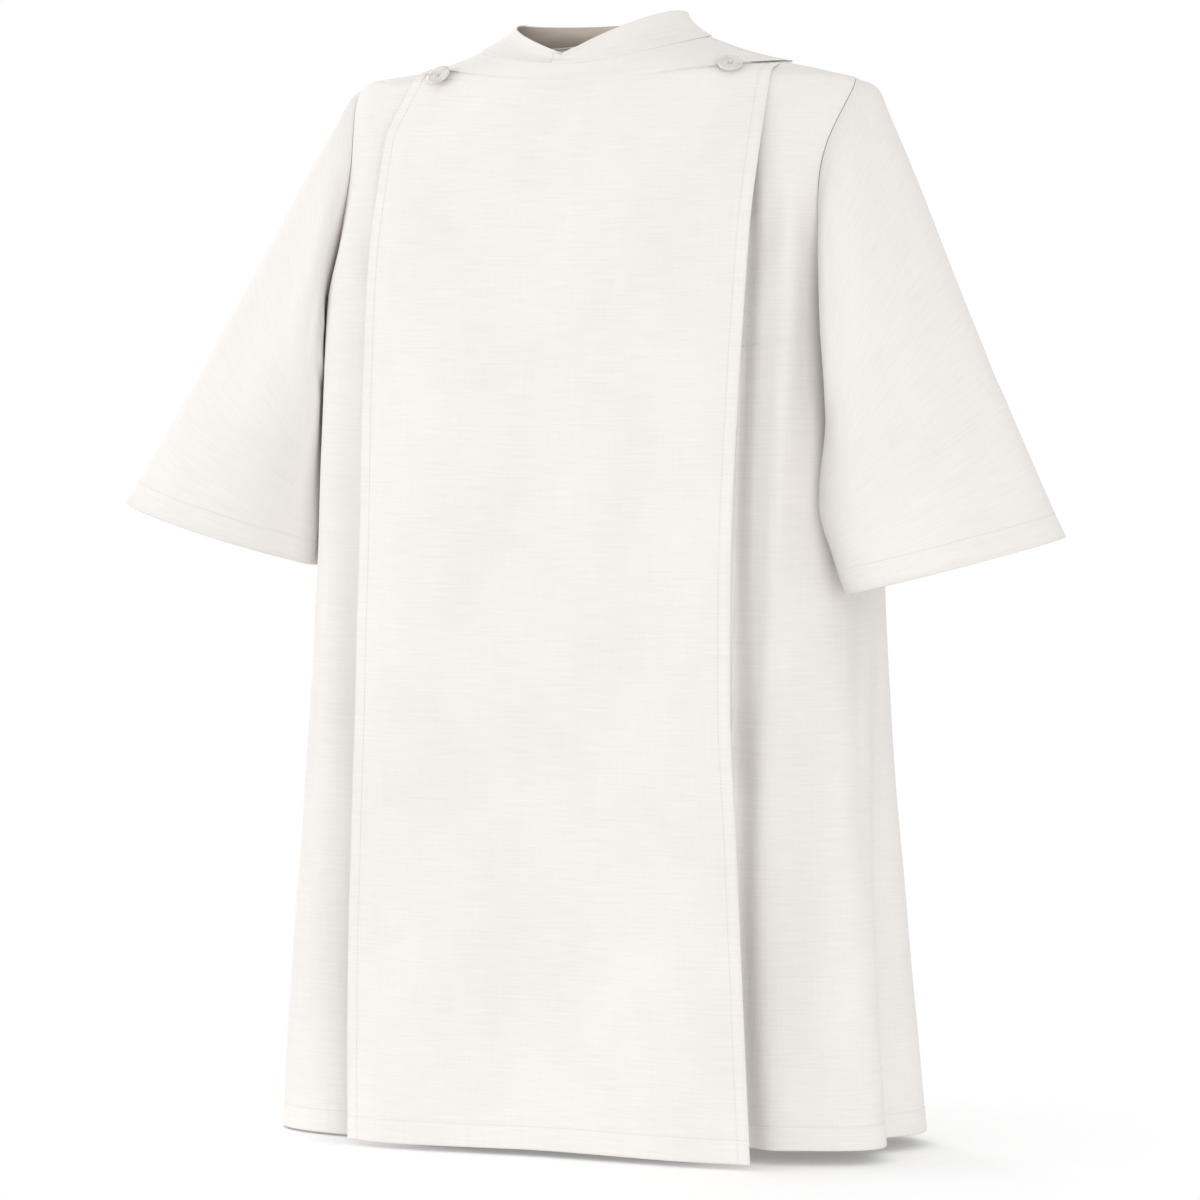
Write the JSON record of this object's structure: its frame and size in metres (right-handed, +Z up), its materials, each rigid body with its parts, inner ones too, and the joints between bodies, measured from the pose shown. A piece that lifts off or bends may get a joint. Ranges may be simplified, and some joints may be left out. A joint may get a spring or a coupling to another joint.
{
  "type": "front-wrap alb robe",
  "caption": "Hollow knee-length alb as worn: wide flat wrap panel over the front, crossed standing collar, short bell sleeves, folded skirt.",
  "frame": {"origin": "on the neck's axis at the height of the neck seam at its sides, between the shoulders that carry the garment", "axes": "+Z up, -Y to the garment's front, +X to the wearer's left"},
  "size_m": [0.968, 0.3492, 1.0754],
  "materials": {
    "cloth": "slubbed plain weave, matt",
    "button": "satin"
  },
  "bodies": {
    "root": {"back": "cloth", "side_front_left": "cloth", "side_front_right": "cloth", "front_panel": "cloth", "sleeve_left": "cloth", "sleeve_right": "cloth", "collar": "cloth", "button_left": "button", "button_right": "button"}
  },
  "joints": []
}
